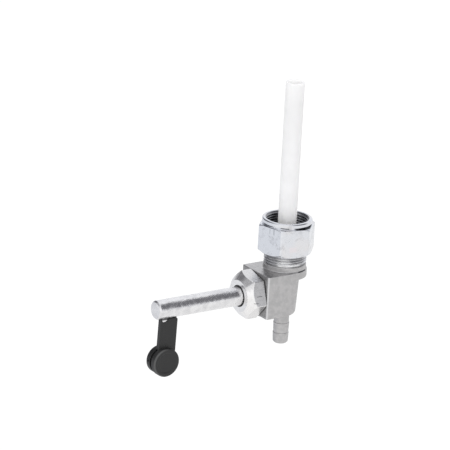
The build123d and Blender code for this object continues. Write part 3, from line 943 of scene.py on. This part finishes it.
rod_wiper = ring_mesh(
    "rod_wiper", along_x, SEAL_BORE, SEAL_OUTER, GLAND_FRONT_X, SEAL_POCKET_X - 0.02, SEAL_EASING
)
show("rod_wiper", rod_wiper, "tap", rubber_finish, "black_rubber", "stem_seal")

# Spindle
# One turned steel rod with the valve barrel and its stop flange at the inner end. It is barrel plated, which
# leaves the long rod satin with a fine sparkle, and its outer end is faced and chamfered.
ROD_RADIUS = 3.55
ROD_END_X = limits("spindle")[0].x
ROD_CHAMFER = 0.55
FACE_CENTRE_RADIUS = 0.02
ROD_JOIN_X = -12.0
PLATE_DULL = (0.745, 0.74, 0.75, 1)
PLATE_PALE = (0.86, 0.855, 0.86, 1)
PLATE_PIT = (0.30, 0.30, 0.32, 1)
PLATE_SHADOW = (0.05, 0.05, 0.05, 1)


def spindle_mesh():
    """Inner end from the CAD solid, and the rod with its end turned afresh."""
    bm = closed_copy("spindle")
    keep_side(bm, (ROD_JOIN_X * MM, 0, 0), (-1, 0, 0))
    inner = finished_mesh("spindle_inner", bm)
    outline = [
        (FACE_CENTRE_RADIUS, ROD_END_X, 0), (ROD_RADIUS - ROD_CHAMFER, ROD_END_X, 0.12),
        (ROD_RADIUS, ROD_END_X + ROD_CHAMFER, 0.15), (ROD_RADIUS, ROD_END_X + 3, 0),
        (ROD_RADIUS, ROD_JOIN_X, 0),
    ]
    rod = turned("rod", outline, along_x, 128)
    bm = bmesh.new()
    for made in (inner, rod):
        bm.from_mesh(made)
    return finished_mesh("plated_spindle", bm)


def satin_plate(name, shadowed_above=0.0):
    """Barrel-plated steel: satin, mottled by the grain of the plating, pitted, and darkened by a painted
    shadow above a height.
    """
    finish, tree, shader = new_finish(name, Metallic=1.0)
    mottle = grain(tree, 0.9, 5.0)
    pale = clouded(tree, grain(tree, 3.0, 3.0), PLATE_DULL, PLATE_PALE)
    pitted = mix_colour(tree, spread(tree, grain(tree, 0.5, 1.0), 0.70, 0.78), pale, PLATE_PIT)
    # Painted shadow: darker above the given height, where the blade meets the rod's underside.
    high = spread(tree, use(tree, UPRIGHT)["Height"], shadowed_above - 0.15, shadowed_above + 0.15, 0.0, 0.9)
    colour = mix_colour(tree, high, pitted, PLATE_SHADOW)
    dress(tree, shader, colour, wander(tree, mottle, 0.18, 0.36))
    raise_skin(tree, shader, mottle, 0.8, 0.12)
    return finish


plate_finish = satin_plate("plated_steel")
show("plated_spindle", spindle_mesh(), "spindle", plate_finish, "plated_steel", "spindle")

# Lever blade
# A strip of plated steel, pressed into a slot through the rod. Only a sliver of it shows, in the notch of the
# grip.
LEVER_X = -50.2
LEVER_LEAN = math.radians(2.0)
BLADE_HALF_WIDTH = 3.2
BLADE_HALF_THICKNESS = 0.5
BLADE_TOP_Z = 0.85
BLADE_LOW_Z = -16.75
BLADE_SHADOW_REACH = 0.75
LEVER_PLACE = Matrix.Translation(Vector((LEVER_X, 0, SPINDLE_Z)) * MM) @ Matrix.Rotation(LEVER_LEAN, 4, "Y")


def set_in_lever(mesh):
    """Moves a mesh from the lever's own frame, whose origin lies on the spindle's axis, to the rod."""
    mesh.transform(LEVER_PLACE)
    return mesh


def plain_place(x, y, z):
    """Point of the lever's own frame, in millimetres."""
    return (x, y, z)


def slab_mesh(name, outline, half_thickness, easing):
    """Plate cut to an outline of (x, z) points, with both faces' edges rounded."""
    count = len(outline)
    inward = []
    for i in range(count):
        run = (Vector(outline[(i + 1) % count]) - Vector(outline[i - 1])).normalized()
        inward.append(Vector((-run.y, run.x)))
    rings = []
    for y, inset in slab_stations(half_thickness, easing):
        ring = [Vector(point) + side * inset for point, side in zip(outline, inward)]
        rings.append([(x, y, z) for x, z in ring])
    return skin(name, rings, plain_place)


def slab_stations(half_thickness, easing, steps=4):
    """(y, inset) pairs that round the edge of a plate from one face to the other."""
    half = []
    for k in range(steps + 1):
        turn = math.pi / 2 * k / steps
        half.append((half_thickness - easing * (1 - math.sin(turn)), easing * (1 - math.cos(turn))))
    return [(-y, inset) for y, inset in reversed(half)] + half


def eased_outline(corners, steps=5):
    """Closed (x, z) outline, counter-clockwise, whose corners are given as (x, z, rounding)."""
    eased = []
    count = len(corners)
    for i, (x, z, rounding) in enumerate(corners):
        if rounding == 0:
            eased.append((x, z))
            continue
        corner = Vector((x, z))
        before = (Vector(corners[i - 1][:2]) - corner).normalized() * rounding
        after = (Vector(corners[(i + 1) % count][:2]) - corner).normalized() * rounding
        eased += corner_curve(corner, before, after, steps)
    return eased


blade_outline = eased_outline([
    (-BLADE_HALF_WIDTH, BLADE_LOW_Z, 0.3), (BLADE_HALF_WIDTH, BLADE_LOW_Z, 0.3),
    (BLADE_HALF_WIDTH, BLADE_TOP_Z, 0.2), (-BLADE_HALF_WIDTH, BLADE_TOP_Z, 0.2),
])
blade_mesh = set_in_lever(slab_mesh("plated_blade", blade_outline, BLADE_HALF_THICKNESS, 0.1))
# Painted shadow on the blade's top, in the notch under the rod.
blade_finish = satin_plate("plated_blade", SPINDLE_Z - ROD_RADIUS - BLADE_SHADOW_REACH)
show("plated_blade", blade_mesh, "spindle", blade_finish, "plated_steel", "lever_blade")

# Lever grip
# Black plastic moulded round the blade: a flat stem, notched at its top, and a round thumb pad with a groove
# round its edge. The pad's face is slightly dished, and the gate leaves a pip on its rim.
GRIP_HALF_WIDTH = 3.6
GRIP_HALF_THICKNESS = 0.9
GRIP_TOP_Z = -ROD_RADIUS - 0.2
GRIP_CORNER = 0.8
NOTCH_X = -1.8
NOTCH_RADIUS = 1.4
NOTCH_STEPS = 16
PAD_X = -1.1
PAD_Z = -20.05
PAD_FRONT_RADIUS = 5.38
PAD_FRONT_RIGHT = 0.2
PAD_FRONT_DOWN = 0.18
PAD_BACK_RADIUS = 5.25
PAD_HALF_THICKNESS = 2.8
PAD_GROOVE_HALF_WIDTH = 0.45
PAD_WAIST_RADIUS = 4.5
PAD_RIM = 1.4
PAD_DISH = 0.2
GATE_RADIUS = 0.35
GATE_PROUD = 0.38
PLASTIC_DARK = (0.0135, 0.0135, 0.014, 1)
PLASTIC_PALE = (0.020, 0.020, 0.020, 1)
PLASTIC_SHADE = (0.002, 0.002, 0.002, 1)
PLASTIC_HIGHLIGHT = (0.075, 0.075, 0.075, 1)


def grip_outline():
    """Stem seen from the front: straight sides, rounded top corners and the half-round notch."""
    left = -GRIP_HALF_WIDTH
    right = GRIP_HALF_WIDTH
    corners = [(left, PAD_Z, 0), (right, PAD_Z, 0), (right, GRIP_TOP_Z, GRIP_CORNER)]
    corners.append((NOTCH_X + NOTCH_RADIUS, GRIP_TOP_Z, 0.2))
    for i in range(1, NOTCH_STEPS):
        turn = math.pi * i / NOTCH_STEPS
        across = NOTCH_RADIUS * math.cos(turn)
        corners.append((NOTCH_X + across, GRIP_TOP_Z - NOTCH_RADIUS * math.sin(turn), 0))
    corners += [(NOTCH_X - NOTCH_RADIUS, GRIP_TOP_Z, 0), (left, GRIP_TOP_Z, 0.15)]
    return eased_outline(corners)


def pad_place(angle, radius, height):
    """Point round the pad's own axis, in millimetres."""
    return (PAD_X + radius * math.cos(angle), height, PAD_Z + radius * math.sin(angle))


def front_place(angle, radius, height):
    """Point round the front disc's axis, which lies a little right of and below the pad's, in millimetres."""
    x, y, z = pad_place(angle, radius, height)
    return (x + PAD_FRONT_RIGHT, y, z - PAD_FRONT_DOWN)


def pip_place(angle, radius, height):
    """Point round the gate pip's axis, in millimetres."""
    middle_y = (PAD_GROOVE_HALF_WIDTH + PAD_HALF_THICKNESS) / 2
    return (height, middle_y + radius * math.cos(angle), PAD_Z + radius * math.sin(angle))


def grip_mesh():
    """Stem, pad and gate pip of the moulding."""
    front = -PAD_HALF_THICKNESS
    back = PAD_HALF_THICKNESS
    groove = PAD_GROOVE_HALF_WIDTH
    dish = PAD_FRONT_RADIUS - PAD_RIM
    face = [
        (FACE_CENTRE_RADIUS, front + PAD_DISH, 0), (dish - 0.3, front + PAD_DISH, 0.3), (dish, front, 0.25),
        (PAD_FRONT_RADIUS, front, 0.4), (PAD_FRONT_RADIUS, -groove, 0.15), (FACE_CENTRE_RADIUS, -groove, 0),
    ]
    rear = [
        (FACE_CENTRE_RADIUS, -groove - 0.5, 0), (PAD_WAIST_RADIUS, -groove - 0.5, 0),
        (PAD_WAIST_RADIUS, groove, 0.15), (PAD_BACK_RADIUS, groove, 0.15),
        (PAD_BACK_RADIUS, back, 0.4), (FACE_CENTRE_RADIUS, back, 0),
    ]
    rim_x = PAD_X - PAD_BACK_RADIUS
    gate = [(FACE_CENTRE_RADIUS, rim_x - GATE_PROUD, 0), (GATE_RADIUS, rim_x - GATE_PROUD + 0.06, 0.1)]
    gate.append((GATE_RADIUS, rim_x + 0.4, 0))
    bm = bmesh.new()
    bm.from_mesh(slab_mesh("stem", grip_outline(), GRIP_HALF_THICKNESS, 0.12))
    bm.from_mesh(turned("front_disc", face, front_place, steps=4))
    bm.from_mesh(turned("back_disc", rear, pad_place, steps=4))
    bm.from_mesh(turned("pip", gate, pip_place, 16))
    return set_in_lever(finished_mesh("moulded_grip", bm))


def moulded_black():
    """Satin black plastic with a fine grain, darker behind the front disc as painted shade, with a painted
    highlight on the front disc's left edge.
    """
    finish, tree, shader = new_finish("black_plastic", IOR=1.48)
    rub = grain(tree, 3.5, 3.0)
    place = use(tree, UPRIGHT)
    satin = clouded(tree, rub, PLASTIC_DARK, PLASTIC_PALE)
    disc = LEVER_PLACE @ (Vector((PAD_X + PAD_FRONT_RIGHT, 0, PAD_Z - PAD_FRONT_DOWN)) * MM) / MM
    flat = add(tree, "ShaderNodeCombineXYZ", {"X": place["X"], "Z": place["Height"]}).outputs[0]
    from_disc = vectors(tree, "LENGTH", vectors(tree, "SUBTRACT", flat, disc)[0])["Value"]
    # Painted shade behind the front disc, over the groove and the back disc.
    behind = times(
        tree, spread(tree, place["Y"], -PAD_GROOVE_HALF_WIDTH - 0.1, PAD_GROOVE_HALF_WIDTH, 0.0, 0.6),
        spread(tree, place["Height"], disc.z + 5.8, disc.z + 6.8, 1.0, 0.0),
    )
    shaded = mix_colour(tree, behind, satin, PLASTIC_SHADE)
    # Painted highlight: a pale line round the front disc's upper-left edge.
    left_edge_highlight = times(
        tree, window(tree, from_disc, PAD_FRONT_RADIUS - 0.4, PAD_FRONT_RADIUS, 0.12),
        spread(tree, place["Y"], -PAD_HALF_THICKNESS + 0.3, -PAD_HALF_THICKNESS + 0.8, 1.0, 0.0),
        spread(tree, place["X"], disc.x - 2.5, disc.x + 1.5, 1.0, 0.0),
    )
    colour = mix_colour(tree, left_edge_highlight, shaded, PLASTIC_HIGHLIGHT)
    dress(tree, shader, colour, spread(tree, rub, 0.35, 0.65, 0.42, 0.55))
    raise_skin(tree, shader, grain(tree, 0.16, 2.0), 0.35, 0.02)
    return finish


show("moulded_grip", grip_mesh(), "spindle", moulded_black(), "black_plastic", "lever_grip")

# Parts inside the tap
# The O-rings, thrust washer, disc spring and stop pin are the CAD solids themselves. They are finished as
# rubber, plated steel and oiled spring steel.
SPRING_DARK = (0.20, 0.20, 0.22, 1)
SPRING_PALE = (0.42, 0.42, 0.44, 1)


def oiled_spring():
    """Grey spring steel with a film of oil and tool rings."""
    finish, tree, shader = new_finish("spring_steel", Metallic=1.0)
    film = grain(tree, 1.2, 3.0)
    rings = use(tree, TOOL_LINES, Along=spindle_radius(tree), Pitch=0.2)["Height"]
    colour = clouded(tree, film, SPRING_DARK, SPRING_PALE)
    dress(tree, shader, colour, wander(tree, film, 0.2, 0.4))
    raise_skin(tree, shader, rings, 0.2, 0.02)
    return finish


hidden_finishes = {
    "inner_o_ring": rubber_finish,
    "outer_o_ring": rubber_finish,
    "thrust_washer": plate_finish,
    "stop_pin": plate_finish,
    "disc_spring": oiled_spring(),
}
for node_name, finish in hidden_finishes.items():
    node_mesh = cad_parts[node_name].data
    node_mesh.materials.clear()
    node_mesh.materials.append(finish)

# Floor and light
# A white table under the tap, a white surround with soft grey patches for the metal to reflect, and one large
# soft lamp.
FLOOR_Z = -95.0
FLOOR_HALF = 4000.0
FLOOR_SHADE_SIDE = (0.35, -0.93, -0.35)
FLOOR_SHADE = (0.80, 0.82, 0.86, 1)
FLOOR_SHOWN = (1.1, 1.1, 1.1, 1)
PAPER_DULL = (0.78, 0.78, 0.78, 1)
PAPER_PALE = (0.80, 0.80, 0.80, 1)
SURROUND = (1.0, 1.0, 1.0, 1)
OPEN_SKY = (0.95, 0.96, 0.99, 1)
BRIGHT_SKY = (1.12, 1.12, 1.13, 1)
DARK_SKY = (0.17, 0.17, 0.185, 1)
RIGHT_PATCH = ((0.54, -0.56, 0.63), 22, 40)
LEFT_PATCH = ((-0.37, 0.80, 0.46), 14, 48)
SHELF_PATCH = ((-0.80, 0.15, 0.60), 5, 28)
BRIGHT_PATCH = ((-0.91, -0.36, 0.15), 10, 32)
LAMP_PLACE = (-620, -480, 560)
LAMP_AIM = (-15, 0, -20)
LAMP_WIDTH = 900
LAMP_POWER = 2.6
FILL_SIDE = (0.85, -0.5, 0)
FILL_LOW = (0.90, 0.905, 0.91, 1)
FILL_HIGH = (1.08, 1.08, 1.085, 1)


def floor_finish():
    """Matt white table that stays white to the camera and to reflections, and keeps soft shadows."""
    finish = bpy.data.materials.new("white_table")
    tree = cleared_tree(finish)
    paper = add(tree, "ShaderNodeTexNoise", {"Scale": 40.0, "Detail": 2.0}).outputs[0]
    grained = mix_colour(tree, paper, PAPER_DULL, PAPER_PALE)
    matt = add(tree, "ShaderNodeBsdfDiffuse", {"Color": grained}).outputs[0]
    rays = add(tree, "ShaderNodeLightPath").outputs
    away = add(tree, "ShaderNodeNewGeometry").outputs["Incoming"]
    shade_side = vectors(tree, "DOT_PRODUCT", away, FLOOR_SHADE_SIDE)["Value"]
    shaded = mix_colour(tree, spread(tree, shade_side, 0.0, 0.6), SURROUND, FLOOR_SHADE)
    tint = mix_colour(tree, rays["Is Camera Ray"], shaded, FLOOR_SHOWN)
    glow = add(tree, "ShaderNodeEmission", {"Color": tint}).outputs[0]
    seen = larger(tree, rays["Is Camera Ray"], rays["Is Transmission Ray"])
    share = times(tree, larger(tree, seen, rays["Is Glossy Ray"]), 0.8)
    both = add(tree, "ShaderNodeMixShader", {0: share, 1: matt, 2: glow}).outputs[0]
    surface = add(tree, "ShaderNodeOutputMaterial")
    tree.links.new(both, surface.inputs["Surface"])
    return finish


def sky_patch(tree, direction, centre, inner, outer):
    """1 inside a soft round patch of the sky, 0 outside; inner and outer are its angles in degrees."""
    facing = vectors(tree, "DOT_PRODUCT", direction, Vector(centre).normalized())["Value"]
    return spread(tree, facing, math.cos(math.radians(outer)), math.cos(math.radians(inner)))


def build_surround():
    """World: white to the camera, white with dark patches in reflections, and even fill light."""
    world = bpy.data.worlds.new("studio")
    bpy.context.scene.world = world
    tree = cleared_tree(world)
    direction = add(tree, "ShaderNodeTexCoord").outputs["Generated"]
    right = sky_patch(tree, direction, *RIGHT_PATCH)
    left = sky_patch(tree, direction, *LEFT_PATCH)
    shelf = times(tree, sky_patch(tree, direction, *SHELF_PATCH), 0.75)
    dark = larger(tree, right, larger(tree, left, shelf))
    bright = sky_patch(tree, direction, *BRIGHT_PATCH)
    reflected = mix_colour(tree, dark, mix_colour(tree, bright, OPEN_SKY, BRIGHT_SKY), DARK_SKY)
    from_side = vectors(tree, "DOT_PRODUCT", direction, FILL_SIDE)["Value"]
    even = mix_colour(tree, spread(tree, from_side, -0.6, 0.8), FILL_LOW, FILL_HIGH)
    rays = add(tree, "ShaderNodeLightPath").outputs
    clear = larger(tree, rays["Is Camera Ray"], rays["Is Transmission Ray"])
    lit = mix_colour(tree, rays["Is Glossy Ray"], even, reflected)
    shown = mix_colour(tree, clear, lit, SURROUND)
    sky = add(tree, "ShaderNodeBackground", {"Color": shown, "Strength": 1.0})
    surface = add(tree, "ShaderNodeOutputWorld")
    tree.links.new(sky.outputs[0], surface.inputs["Surface"])


def soft_lamp(name, place, aim, width, power):
    """Square soft lamp, aimed at a point; places in millimetres, power in watts."""
    light = bpy.data.lights.new(name, "AREA")
    light.size = width * MM
    light.energy = power
    lamp = put(name, light)
    lamp.location = Vector(place) * MM
    lamp.rotation_mode = "QUATERNION"
    lamp.rotation_quaternion = (Vector(aim) * MM - lamp.location).to_track_quat("-Z", "Y")
    lamp.visible_camera = False
    lamp.visible_glossy = False


sides = ((-1, -1), (1, -1), (1, 1), (-1, 1))
table_corners = [Vector((x * FLOOR_HALF, y * FLOOR_HALF, FLOOR_Z)) * MM for x, y in sides]
table_mesh = bpy.data.meshes.new("table")
table_mesh.from_pydata(table_corners, [], [(0, 1, 2, 3)])
table_mesh.materials.append(floor_finish())
table = put("table", table_mesh)
build_surround()
soft_lamp("key_lamp", LAMP_PLACE, LAMP_AIM, LAMP_WIDTH, LAMP_POWER)

# Camera
# It looks along the line worked out from the nut's ellipse, the block's edges and the rod, with the slight
# roll of the photograph.
CAMERA_TURN = math.radians(-34.57)
CAMERA_RISE = math.radians(18.73)
CAMERA_ROLL = math.radians(3.12)
CAMERA_DISTANCE = 1613.0
CAMERA_SHIFT_RIGHT = 21.505
CAMERA_AIM_Z = -27.4
CAMERA_SHIFT_DOWN = 22.95
CAMERA_LENS = 349.7

toward_camera = Vector((
    math.sin(CAMERA_TURN) * math.cos(CAMERA_RISE),
    -math.cos(CAMERA_TURN) * math.cos(CAMERA_RISE),
    math.sin(CAMERA_RISE),
))
level_right = Vector((math.cos(CAMERA_TURN), math.sin(CAMERA_TURN), 0))
level_up = toward_camera.cross(level_right)
picture_right = level_right * math.cos(CAMERA_ROLL) + level_up * math.sin(CAMERA_ROLL)
picture_up = toward_camera.cross(picture_right)
aim_point = Vector((0, 0, CAMERA_AIM_Z))
camera_place = aim_point + toward_camera * CAMERA_DISTANCE
camera_place -= picture_right * CAMERA_SHIFT_RIGHT
camera_place += picture_up * CAMERA_SHIFT_DOWN
camera_data = bpy.data.cameras.new("camera")
camera_data.lens = CAMERA_LENS
camera_data.sensor_width = 36.0
camera_data.clip_start = 0.01
camera_data.clip_end = 50.0
camera = put("camera", camera_data)
camera.location = camera_place * MM
camera.rotation_mode = "QUATERNION"
camera_axes = Matrix((picture_right, picture_up, toward_camera))
camera.rotation_quaternion = camera_axes.transposed().to_quaternion()
bpy.context.scene.camera = camera
bpy.context.scene.view_settings.view_transform = "Standard"
